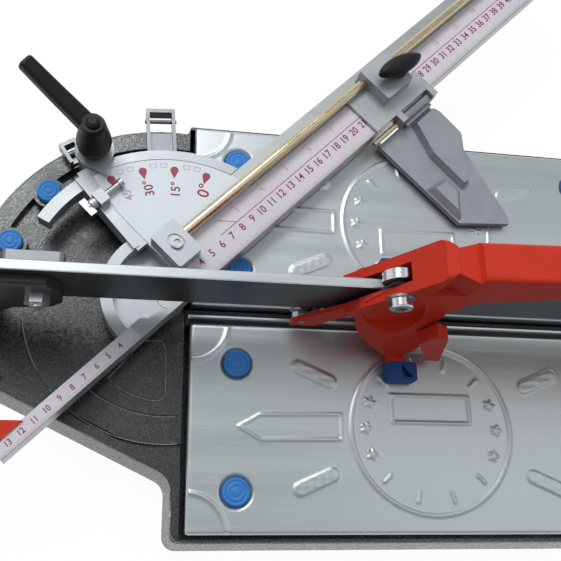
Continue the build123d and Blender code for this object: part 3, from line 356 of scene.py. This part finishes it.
# Pressed tables, y from the cutting line; a bead has (half width, height), a step (width, height)

MID_X = (TABLE_LOW[0] + TABLE_HIGH[0]) / 2
MID_Y = (TABLE_LOW[1] + TABLE_HIGH[1]) / 2
EDGE_R = 2.0
FAN_DEG = 22.5
SHEET_UNDER = TOP - 3.0
CELL = 1.0
RING_X = TABLE_LOW[0] + 170.0
RING_R = 58.0
RING_BEAD = (2.0, 0.9)
MARK_R = 47.5
TICK_TURN = math.radians(30.0)
TICK_HALF = 3.2
TICK_BEAD = (1.8, 0.8)
BARE_HALF = 24.0
NO_TICK = 9.0
STAR_DEGS = (-22.0, 0.0, 22.0, 158.0, 180.0, 202.0)
STAR_R = 2.9
STAR_SWING = 1.3
STAR_POINTS = 5.0
STAR_STEP = (1.3, 0.8)
PLATE_HALF = (28.5, 9.5)
PLATE_OFF = 14.0
PLATE_BEAD = (1.7, 0.8)
LOZENGE_AT = (83.5, 36.5)
LOZENGE_TURN = math.radians(23.6)
LOZENGE_HALF = 12.0
LOZENGE_R = 4.6
LOZENGE_STEP = (1.6, 0.75)
GRAIN_R = 3.6
GRAIN_HIGH = 0.12
GRAIN_RATE = 2.6
ARROW = [(55.0, 77.5), (70.0, 69.0), (126.0, 68.0), (126.0, 85.0), (70.0, 86.0)]
ARROW_BEAD = (1.6, 0.75)
CORNER_R = 26.1
CORNER_BEAD = (2.4, 0.9)
PADS = [(x, y) for x in (53.5, 326.0, 580.5) for y in (34.4, 120.2)]
SEAT_R = 10.6
SEAT_STEP = (2.6, 1.8)


def near_line(x, y, a, b):
    ax, ay = a
    dx, dy = b[0] - ax, b[1] - ay
    t = np.clip(((x - ax) * dx + (y - ay) * dy) / (dx * dx + dy * dy), 0.0, 1.0)
    return np.hypot(x - ax - t * dx, y - ay - t * dy)


def near_outline(x, y, corners):
    lines = zip(corners, corners[1:] + corners[:1])
    return np.minimum.reduce([near_line(x, y, a, b) for a, b in lines])


def bead(far, half, high):
    t = np.clip(1.0 - far / half, 0.0, 1.0)
    return high * t * t * (3.0 - 2.0 * t)


def shoulder(inside, width, high):
    t = np.clip(inside / width + 0.5, 0.0, 1.0)
    return high * t * t * (3.0 - 2.0 * t)


def ring_forms(rx, ry):
    """The ring with its ticks, stars and empty plate, from the ring's centre."""
    r = np.hypot(rx, ry)
    forms = [bead(np.abs(r - RING_R), *RING_BEAD)]
    off = (np.mod(np.arctan2(ry, rx), TICK_TURN) - TICK_TURN / 2) * r
    tick = np.maximum(np.abs(off), np.abs(r - MARK_R) - TICK_HALF)
    tick = np.where(np.abs(ry) < BARE_HALF, NO_TICK, np.maximum(tick, 0.0))
    forms.append(bead(tick, *TICK_BEAD))
    for deg in STAR_DEGS:
        sx = rx - MARK_R * math.cos(math.radians(deg))
        sy = ry - MARK_R * math.sin(math.radians(deg))
        reach = STAR_R + STAR_SWING * np.cos(STAR_POINTS * np.arctan2(sy, sx))
        forms.append(shoulder(reach - np.hypot(sx, sy), *STAR_STEP))
    plate = np.maximum(np.abs(rx) - PLATE_HALF[0], np.abs(ry + PLATE_OFF) - PLATE_HALF[1])
    forms.append(bead(np.abs(plate), *PLATE_BEAD))
    return forms


def lozenge(x, y, lx, ly):
    """One filled lozenge with a grained top, in the corner (lx, ly) of the ring."""
    turn = LOZENGE_TURN * lx * ly
    cx, cy = RING_X + LOZENGE_AT[0] * lx, MID_Y + LOZENGE_AT[1] * ly
    ex, ey = LOZENGE_HALF * math.cos(turn), LOZENGE_HALF * math.sin(turn)
    far = near_line(x, y, (cx - ex, cy - ey), (cx + ex, cy + ey))
    grain = GRAIN_HIGH * np.sin(GRAIN_RATE * (x + y)) * np.sin(GRAIN_RATE * (x - y))
    return shoulder(LOZENGE_R - far, *LOZENGE_STEP) + np.where(far < GRAIN_R, grain, 0.0)


def pressed(x, y):
    """Height of the pressed pattern over the flat sheet; both ends carry the same one."""
    high = np.zeros(x.shape)
    for u in (x, 2 * MID_X - x):
        forms = ring_forms(u - RING_X, y - MID_Y)
        forms += [lozenge(u, y, lx, ly) for lx in (-1, 1) for ly in (-1, 1)]
        forms.append(bead(near_outline(u, y, ARROW), *ARROW_BEAD))
        for edge in (TABLE_LOW[1], TABLE_HIGH[1]):
            far = np.abs(np.hypot(u - TABLE_LOW[0], y - edge) - CORNER_R)
            forms.append(bead(far, *CORNER_BEAD))
        for form in forms:
            high = np.maximum(high, form)
    for px, py in PADS:
        high = high - shoulder(SEAT_R - np.hypot(x - px, y - py), *SEAT_STEP)
    return high


def border_walk(nx, ny):
    """Points round the border of a grid with outward directions, the corners fanned."""
    rows = [(i, 0, -90.0) for i in range(nx)] + [(nx - 1, j, 0.0) for j in range(ny)]
    rows += [(i, ny - 1, 90.0) for i in range(nx - 1, -1, -1)]
    rows += [(0, j, 180.0) for j in range(ny - 1, -1, -1)]
    walk = []
    for step, (i, j, deg) in enumerate(rows):
        walk.append((j * nx + i, deg))
        after = rows[(step + 1) % len(rows)]
        if (after[0], after[1]) == (i, j):
            walk += [(j * nx + i, deg + k * FAN_DEG) for k in (1, 2, 3)]
    return walk


def table_sheet(name, side):
    """The pressed sheet with a round edge, a skirt and a flat underside."""
    nx = int(round((TABLE_HIGH[0] - TABLE_LOW[0] - 2 * EDGE_R) / CELL)) + 1
    ny = int(round((TABLE_HIGH[1] - TABLE_LOW[1] - 2 * EDGE_R) / CELL)) + 1
    xs = np.linspace(TABLE_LOW[0] + EDGE_R, TABLE_HIGH[0] - EDGE_R, nx)
    ys = np.linspace(TABLE_LOW[1] + EDGE_R, TABLE_HIGH[1] - EDGE_R, ny)
    gx, gy = np.meshgrid(xs, ys)
    gz = TOP + pressed(gx, gy)
    points = list(zip(gx.ravel().tolist(), (gy.ravel() * side).tolist(), gz.ravel().tolist()))
    corners = [j * nx + i for j in range(ny - 1) for i in range(nx - 1)]
    faces = [(k, k + 1, k + nx + 1, k + nx) for k in corners]
    walk = border_walk(nx, ny)
    bends = [math.radians(deg) for deg in (30, 60, 90)]
    drop = [(EDGE_R * math.sin(t), TOP - EDGE_R * (1 - math.cos(t))) for t in bends]
    drop += [(EDGE_R, TABLE_LOW[2]), (0.0, TABLE_LOW[2]), (0.0, SHEET_UNDER)]
    before = [k for k, deg in walk]
    for out, z in drop:
        ring = []
        for k, deg in walk:
            px, py = points[k][:2]
            ring.append(len(points))
            points.append((px + out * math.cos(math.radians(deg)),
                           py + side * out * math.sin(math.radians(deg)), z))
        for m in range(len(walk)):
            n = (m + 1) % len(walk)
            face = list(dict.fromkeys((before[m], before[n], ring[n], ring[m])))
            if len(face) > 2:
                faces.append(tuple(face))
        before = ring
    faces.append(tuple(before))
    obj = piece(name + "_sheet", points, faces, "table", name)
    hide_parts(name)


table_sheet("near_table", -1)
table_sheet("far_table", 1)


# Pads, base edges, springs and knob

PAD_RINGS = [(9.3, 44.0), (9.3, 46.5), (8.8, 47.2), (8.2, 47.4), (7.5, 47.4), (7.1, 46.7),
             (6.5, 46.7), (6.1, 47.4), (4.2, 47.5), (3.9, 47.1), (3.4, 47.1), (3.1, 47.5),
             (1.0, 47.5)]
HEAD_RINGS = [(8.5, 40.0), (8.5, 45.8), (8.2, 46.7), (7.3, 47.4), (6.7, 47.5), (6.3, 46.8),
              (5.7, 46.8), (5.3, 47.4), (3.6, 47.5), (3.3, 47.1), (2.8, 47.1), (2.5, 47.5),
              (1.0, 47.5)]
HEAD_PAD_R = 115.0
HEAD_PAD_DEGS = (138.6, 161.6)


def head_spot(r, deg):
    return PIVOT[0] + r * math.cos(math.radians(deg)), PIVOT[1] + r * math.sin(math.radians(deg))


for side, flank in SIDES:
    spots = [(x, side * y) for x, y in PADS]
    pads = turned(flank + "_pad_discs", spots, PAD_RINGS, "pad", flank + "_table")
    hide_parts(flank + "_table_pads")
spots = [head_spot(HEAD_PAD_R, deg) for deg in HEAD_PAD_DEGS]
cups = turned("head_pad_discs", spots, HEAD_RINGS, "pad", "base")
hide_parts("head_pads")


ARC_STEP = 2.0


def arc(r, deg0, deg1, z):
    """Points of an arc about the fence's pivot."""
    count = int(abs(deg1 - deg0) / ARC_STEP) + 1
    turns = [deg0 + (deg1 - deg0) * k / count for k in range(count + 1)]
    return [(*head_spot(r, deg), z) for deg in turns]


def level(corners, z):
    return [(x, y, z) for x, y in corners]


# beads in the lighter paint: a painted highlight along the rim's top edge
RIM_Z = 37.6
RIM_R = 135.2
RIM_THICK = 0.7
FLANK_Y = -105.23
FLANK_SLOPE = -0.484
FLANK = [(x, FLANK_Y + FLANK_SLOPE * x) for x in (-108.0, -60.0, -10.0)]
TRAY = [(11.9, -120.0), (11.9, -144.0), (12.9, -148.0), (15.6, -150.7), (19.6, -151.6),
        (300.0, -151.6), (740.0, -151.6)]
rim = [arc(RIM_R, 93.0, 200.0, RIM_Z), level(FLANK, RIM_Z), level(TRAY, RIM_Z)]
cord("rim_edge", rim, RIM_THICK, "edge", "base")

# a painted highlight along the deck's step edge
STEP_Z = 34.3
STEP_R = 98.7
STEP_THICK = 0.55
steps = [arc(STEP_R, 128.0, 212.0, STEP_Z), arc(STEP_R, 219.0, 277.0, STEP_Z)]
cord("deck_edge", steps, STEP_THICK, "edge", "base")

# painted highlight beads along the deck's panel outline and arc
LINE_Z = 34.4
LINE_R = 80.3
LINE_THICK = 0.45
PANEL = [(-9.5, -17.5), (2.5, -17.5), (5.4, -22.5), (6.4, -55.0), (2.5, -59.4), (-4.0, -59.4),
         (-15.8, -56.4), (-26.6, -50.4), (-33.0, -45.2), (-9.5, -17.5)]
lines = [arc(LINE_R, 224.0, 277.0, LINE_Z), level(PANEL, LINE_Z)]
cord("deck_lines", lines, LINE_THICK, "edge", "base")

SPRINGS = [(x, y) for x in (80.0, 554.0) for y in (40.0, 114.0)]
COIL_TURNS = 5
COIL_STEPS = 100
LOWER_COIL = (6.75, 0.5, 12.7, 30.0)
UPPER_COIL = (7.95, 0.45, 24.0, 42.3)


def coils(name, side, coil, body):
    """Coil springs of one table; coil is (radius, wire radius, low end, high end)."""
    r, wire_r, z0, z1 = coil
    paths = []
    for x, y in SPRINGS:
        path = []
        for k in range(COIL_STEPS + 1):
            t = 2 * math.pi * COIL_TURNS * k / COIL_STEPS
            z = z0 + (z1 - z0) * k / COIL_STEPS
            path.append((x + r * math.cos(t), side * y + r * math.sin(t), z))
        paths.append(path)
    return cord(name, paths, wire_r, "spring", body, sides=6)


# each spring is a nested pair: one coil stays with the base, the other with its table
for side, flank in SIDES:
    low = coils(flank + "_lower_coils", side, LOWER_COIL, "base")
    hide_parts(flank + "_springs")
    coils(flank + "_upper_coils", side, UPPER_COIL, flank + "_table")

KNOB_TURN = math.radians(32.5)
KNOB_STEPS = 48
NECK_R = 7.2
NECK_TOP = 3.0
LEAF_HALF = (20.4, 7.4)
LEAF_POINT = 0.25
LEAF_RINGS = [(3.2, 0.80), (4.2, 0.94), (6.0, 1.0), (8.4, 0.97), (10.2, 0.86), (11.3, 0.66),
              (11.8, 0.40), (12.0, 0.12)]


def wing_knob():
    """A domed leaf, pointed at both ends, on a round neck."""
    c, s = math.cos(KNOB_TURN), math.sin(KNOB_TURN)
    rings = [[(NECK_R * p, NECK_R * q, z) for p, q in circle(KNOB_STEPS)] for z in (0.0, NECK_TOP)]
    for z, k in LEAF_RINGS:
        rings.append([(LEAF_HALF[0] * k * p, LEAF_HALF[1] * k * q * abs(q) ** LEAF_POINT, z)
                      for p, q in circle(KNOB_STEPS)])
    points = [(KNOB_AT[0] + x * c - y * s, KNOB_AT[1] + x * s + y * c, KNOB_LOW + z)
              for ring in rings for x, y, z in ring]
    faces = loft(0, len(rings), KNOB_STEPS)
    obj = piece("stop_knob_leaf", points, faces, "black", "stop_knob")
    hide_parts("stop_knob")


wing_knob()


# Printed scales and dial

INK_Z = LABEL_TOP + 0.05
DIAG = math.sqrt(0.5)
GLYPHS = {}
DIGIT_BOLD = 0.018
DIGIT_TALL = 0.69


def fence_spot(a, b):
    """A point a along the fence from its pivot and b across it."""
    return PIVOT[0] + (a - b) * DIAG, PIVOT[1] + (a + b) * DIAG


def glyphs(text):
    """Outline of some digits as flat faces, one unit high, centred."""
    if text not in GLYPHS:
        curve = bpy.data.curves.new("digits", "FONT")
        curve.body = text
        curve.resolution_u = 4
        curve.offset = DIGIT_BOLD
        obj = bpy.data.objects.new("digits", curve)
        bpy.context.scene.collection.objects.link(obj)
        bpy.context.view_layer.update()
        mesh = bpy.data.meshes.new_from_object(obj)
        verts = [(v.co.x, v.co.y) for v in mesh.vertices]
        polys = [tuple(p.vertices) for p in mesh.polygons]
        bpy.data.objects.remove(obj)
        bpy.data.curves.remove(curve)
        bpy.data.meshes.remove(mesh)
        xs = [v[0] for v in verts]
        mid = (min(xs) + max(xs)) / 2
        GLYPHS[text] = ([((x - mid) / DIGIT_TALL, y / DIGIT_TALL - 0.5) for x, y in verts], polys)
    return GLYPHS[text]


class Ink:
    """Flat print gathered into one thin piece."""

    def __init__(self):
        self.points = []
        self.faces = []

    def add(self, corners):
        k = len(self.points)
        self.points += level(corners, INK_Z)
        self.faces.append(tuple(range(k, k + len(corners))))

    def strip(self, p, q, width):
        dx, dy = q[0] - p[0], q[1] - p[1]
        size = math.hypot(dx, dy)
        nx, ny = -dy / size * width / 2, dx / size * width / 2
        self.add([(p[0] + nx, p[1] + ny), (p[0] - nx, p[1] - ny), (q[0] - nx, q[1] - ny),
                  (q[0] + nx, q[1] + ny)])

    def words(self, text, spot, turn, size, wide=1.0):
        """Digits with their centre on spot, turned by turn degrees."""
        verts, polys = glyphs(text)
        c, s = math.cos(math.radians(turn)), math.sin(math.radians(turn))
        k = len(self.points)
        for vx, vy in verts:
            px, py = vx * size * wide, vy * size
            self.points.append((spot[0] + px * c - py * s, spot[1] + px * s + py * c, INK_Z))
        self.faces += [tuple(k + i for i in poly) for poly in polys]

    def make(self, name, look, body):
        return piece(name, self.points, self.faces, look, body, smooth=False)


NUMBER_BACK = 9.7
NUMBER_WIDE = 0.86
MARK_SHIFT = 0.3
INCH = 25.4
INCH_ROW = 12.4
INCH_EDGE = 18.6
INCH_SIZE = 4.0
INCH_WIDE = 0.9
INCH_MARK = 2.6
HALF_MARK = 1.8
INCH_THICK = 0.35
SCALE_END = 446
RED_ROW = 5.8
RED_THICK = 0.55
SLANT = ((60.3, 15.3), (69.8, 6.0))
SLANT_THICK = 0.5
red = Ink()
dark = Ink()
pale = Ink()


def metric_scale(way, cms, row, size, mms, edge, lengths, thick):
    """Numbers in cm and marks in mm, with way 1 on the long bar and -1 on the short one."""
    for cm in cms:
        spot = fence_spot(10 * way * cm - NUMBER_BACK, row)
        dark.words(str(cm), spot, FENCE_TURN, size, NUMBER_WIDE)
    for mm in mms:
        length = lengths[0] if mm % 10 == 0 else lengths[1] if mm % 5 == 0 else lengths[2]
        a = way * mm + MARK_SHIFT
        pale.strip(fence_spot(a, edge), fence_spot(a, edge + length), thick)


def inch_scale(halves):
    """A number and a mark at each inch, a shorter mark at each half."""
    for half in halves:
        a = half * INCH / 2 + MARK_SHIFT
        if a > SCALE_END:
            break
        length = HALF_MARK
        if half % 2 == 0:
            length = INCH_MARK
            spot = fence_spot(a, INCH_ROW)
            pale.words(str(half // 2), spot, FENCE_TURN, INCH_SIZE, INCH_WIDE)
        pale.strip(fence_spot(a, INCH_EDGE - length), fence_spot(a, INCH_EDGE), INCH_THICK)


metric_scale(1, cms=range(4, 46), row=0.6, size=5.6, mms=range(29, 448), edge=-11.3,
             lengths=(4.2, 3.2, 2.0), thick=0.32)
red.strip(fence_spot(54.3, RED_ROW), fence_spot(448.0, RED_ROW), RED_THICK)
red.strip(fence_spot(*SLANT[0]), fence_spot(*SLANT[1]), SLANT_THICK)
inch_scale(range(5, 36))
metric_scale(-1, cms=range(4, 15), row=-6.4, size=4.0, mms=range(37, 149), edge=-11.4,
             lengths=(3.2, 2.4, 1.6), thick=0.3)
dark.make("scale_numbers", "ink_dark", "fence")
red.make("scale_line", "ink_red", "fence")
pale.make("scale_marks", "ink_pale", "fence")

DROP_R = 90.5
DROP_SIZE = 2.9
DROP_TIP = 2.3
DROP_STEP = 16.5
BOX_R = (92.2, 95.4)
BOX_HALF = (1.2, 1.5)
BOX_DEGS = (80.0, 84.5, 94.5, 99.0, 109.0, 113.5)
BOX_THICK = 0.45
dial_red = Ink()
dial_dark = Ink()
dial_pale = Ink()
# each number of the dial: its mark's direction, its own direction and radius, text, height, ink
DIAL = ((75.2, 74.2, 79.0, "0°", 8.2, dial_red), (89.8, 88.9, 76.0, "15°", 6.2, dial_dark),
        (104.0, 103.0, 77.0, "30°", 6.2, dial_dark), (118.5, 114.6, 76.5, "45°", 5.6, dial_pale))


def teardrop(deg):
    """Round end outwards, tip towards the pivot."""
    c, s = math.cos(math.radians(deg)), math.sin(math.radians(deg))
    turns = [math.radians(k * DROP_STEP) for k in range(-7, 8)]
    outline = [(-DROP_TIP, 0.0)] + [(math.cos(t), math.sin(t)) for t in turns]
    x0, y0 = head_spot(DROP_R, deg)
    dial_red.add([(x0 + DROP_SIZE * (p * c - q * s), y0 + DROP_SIZE * (p * s + q * c))
                  for p, q in outline])


for deg, at, r, text, size, ink in DIAL:
    teardrop(deg)
    ink.words(text, head_spot(r, at), deg, size)
for deg in BOX_DEGS:
    ends = [head_spot(BOX_R[0], deg - BOX_HALF[0]), head_spot(BOX_R[0], deg + BOX_HALF[0]),
            head_spot(BOX_R[1], deg + BOX_HALF[1]), head_spot(BOX_R[1], deg - BOX_HALF[1])]
    for k in range(4):
        dial_pale.strip(ends[k - 1], ends[k], BOX_THICK)
dial_red.make("dial_marks", "ink_red", "fence")
dial_dark.make("dial_numbers", "ink_dark", "fence")
dial_pale.make("dial_outlines", "ink_pale", "fence")


# Stage, light and camera, in metres

BOWL = [(7.0, 0.0), (8.0, 0.15), (9.0, 0.8), (9.7, 2.0), (10.0, 3.4), (10.0, 5.0)]
BOWL_STEPS = 48
FLOOR_GREY = (0.32, 0.32, 0.32)
GLOW = 1.12
GLOW_SHARE = 0.86


def larger(mat, one, other):
    node = add_node(mat, "ShaderNodeMath", operation="MAXIMUM")
    wire(mat, one, node.inputs[0])
    wire(mat, other, node.inputs[1])
    return node.outputs[0]


def floor_look():
    """A grey floor that takes the shadow, and white where it is seen or mirrored."""
    mat = shade("pale_floor", FLOOR_GREY, 0.0, 0.9)
    tree = mat.node_tree
    path = add_node(mat, "ShaderNodeLightPath")
    seen = larger(mat, path.outputs["Is Camera Ray"], path.outputs["Is Glossy Ray"])
    seen = larger(mat, seen, path.outputs["Is Transmission Ray"])
    share = add_node(mat, "ShaderNodeMath", operation="MULTIPLY")
    wire(mat, seen, share.inputs[0])
    share.inputs[1].default_value = GLOW_SHARE
    glow = add_node(mat, "ShaderNodeEmission", Strength=GLOW)
    glow.inputs["Color"].default_value = (1, 1, 1, 1)
    mix = add_node(mat, "ShaderNodeMixShader")
    wire(mat, share.outputs[0], mix.inputs[0])
    wire(mat, tree.nodes["Principled BSDF"].outputs[0], mix.inputs[1])
    wire(mat, glow.outputs[0], mix.inputs[2])
    wire(mat, mix.outputs[0], tree.nodes["Material Output"].inputs["Surface"])
    return mat


def floor():
    """A flat floor that rises into a round backdrop, open at the top."""
    mesh = bpy.data.meshes.new("floor")
    points = [(r * c, r * s, z) for r, z in BOWL for c, s in circle(BOWL_STEPS)]
    mesh.from_pydata(points, [], loft(0, len(BOWL), BOWL_STEPS)[:-1])
    mesh.materials.append(floor_look())
    obj = bpy.data.objects.new("floor", mesh)
    bpy.context.scene.collection.objects.link(obj)


floor()

SKY_BRIGHT_WAY = (-0.10, 0.55, 0.83)
SKY_DARK = (0.07, 0.07, 0.075, 1)
SKY_BRIGHT = (0.95, 0.97, 1.0, 1)
SKY_DARK_END = 0.25
SKY_STRENGTH = 0.62


def sky():
    """A soft sky, brightest in one direction."""
    world = bpy.data.worlds.new("soft_sky")
    bpy.context.scene.world = world
    world.use_nodes = True
    tree = world.node_tree
    back = tree.nodes["Background"]
    spot = tree.nodes.new("ShaderNodeTexCoord")
    dot = tree.nodes.new("ShaderNodeVectorMath")
    dot.operation = "DOT_PRODUCT"
    dot.inputs[1].default_value = SKY_BRIGHT_WAY
    tree.links.new(spot.outputs["Generated"], dot.inputs[0])
    half = tree.nodes.new("ShaderNodeMath")
    half.operation = "MULTIPLY_ADD"
    half.inputs[1].default_value = 0.5
    half.inputs[2].default_value = 0.5
    tree.links.new(dot.outputs["Value"], half.inputs[0])
    ramp = tree.nodes.new("ShaderNodeValToRGB")
    ramp.color_ramp.elements[0].position = SKY_DARK_END
    ramp.color_ramp.elements[0].color = SKY_DARK
    ramp.color_ramp.elements[1].position = 1.0
    ramp.color_ramp.elements[1].color = SKY_BRIGHT
    tree.links.new(half.outputs[0], ramp.inputs["Fac"])
    tree.links.new(ramp.outputs["Color"], back.inputs["Color"])
    back.inputs["Strength"].default_value = SKY_STRENGTH


sky()


def lamp(name, spot, aim, size, power):
    data = bpy.data.lights.new(name, "AREA")
    data.shape = "RECTANGLE"
    data.size = size[0]
    data.size_y = size[1]
    data.energy = power
    obj = bpy.data.objects.new(name, data)
    obj.location = spot
    obj.rotation_euler = (Vector(aim) - Vector(spot)).to_track_quat("-Z", "Y").to_euler()
    bpy.context.scene.collection.objects.link(obj)


lamp("key_light", spot=(-0.5, 1.1, 1.65), aim=(0.2, 0.0, 0.0), size=(1.2, 0.8), power=20.0)
lamp("fill_light", spot=(1.2, 0.2, 1.8), aim=(0.3, 0.0, 0.0), size=(1.2, 1.2), power=3.0)

CAMERA_AT = (-0.018397, -0.170962, 0.585567)
RIGHT = (0.9829324, -0.0111536, 0.1836285)
DOWN = (0.0521860, -0.9402529, -0.3364538)
AHEAD = (0.1764099, 0.3402942, -0.9236230)
FOCAL_PX = 812.149
PHOTO_PX = 561.0
SENSOR_MM = 36.0
camera = bpy.data.cameras.new("photo_camera")
camera.sensor_width = SENSOR_MM
camera.lens = SENSOR_MM * FOCAL_PX / PHOTO_PX
camera.clip_start = 0.01
view = bpy.data.objects.new("photo_camera", camera)
turn = Matrix((RIGHT, [-v for v in DOWN], [-v for v in AHEAD])).transposed()
view.matrix_world = Matrix.Translation(CAMERA_AT) @ turn.to_4x4()
bpy.context.scene.collection.objects.link(view)
bpy.context.scene.camera = view
bpy.context.scene.view_settings.view_transform = "Standard"
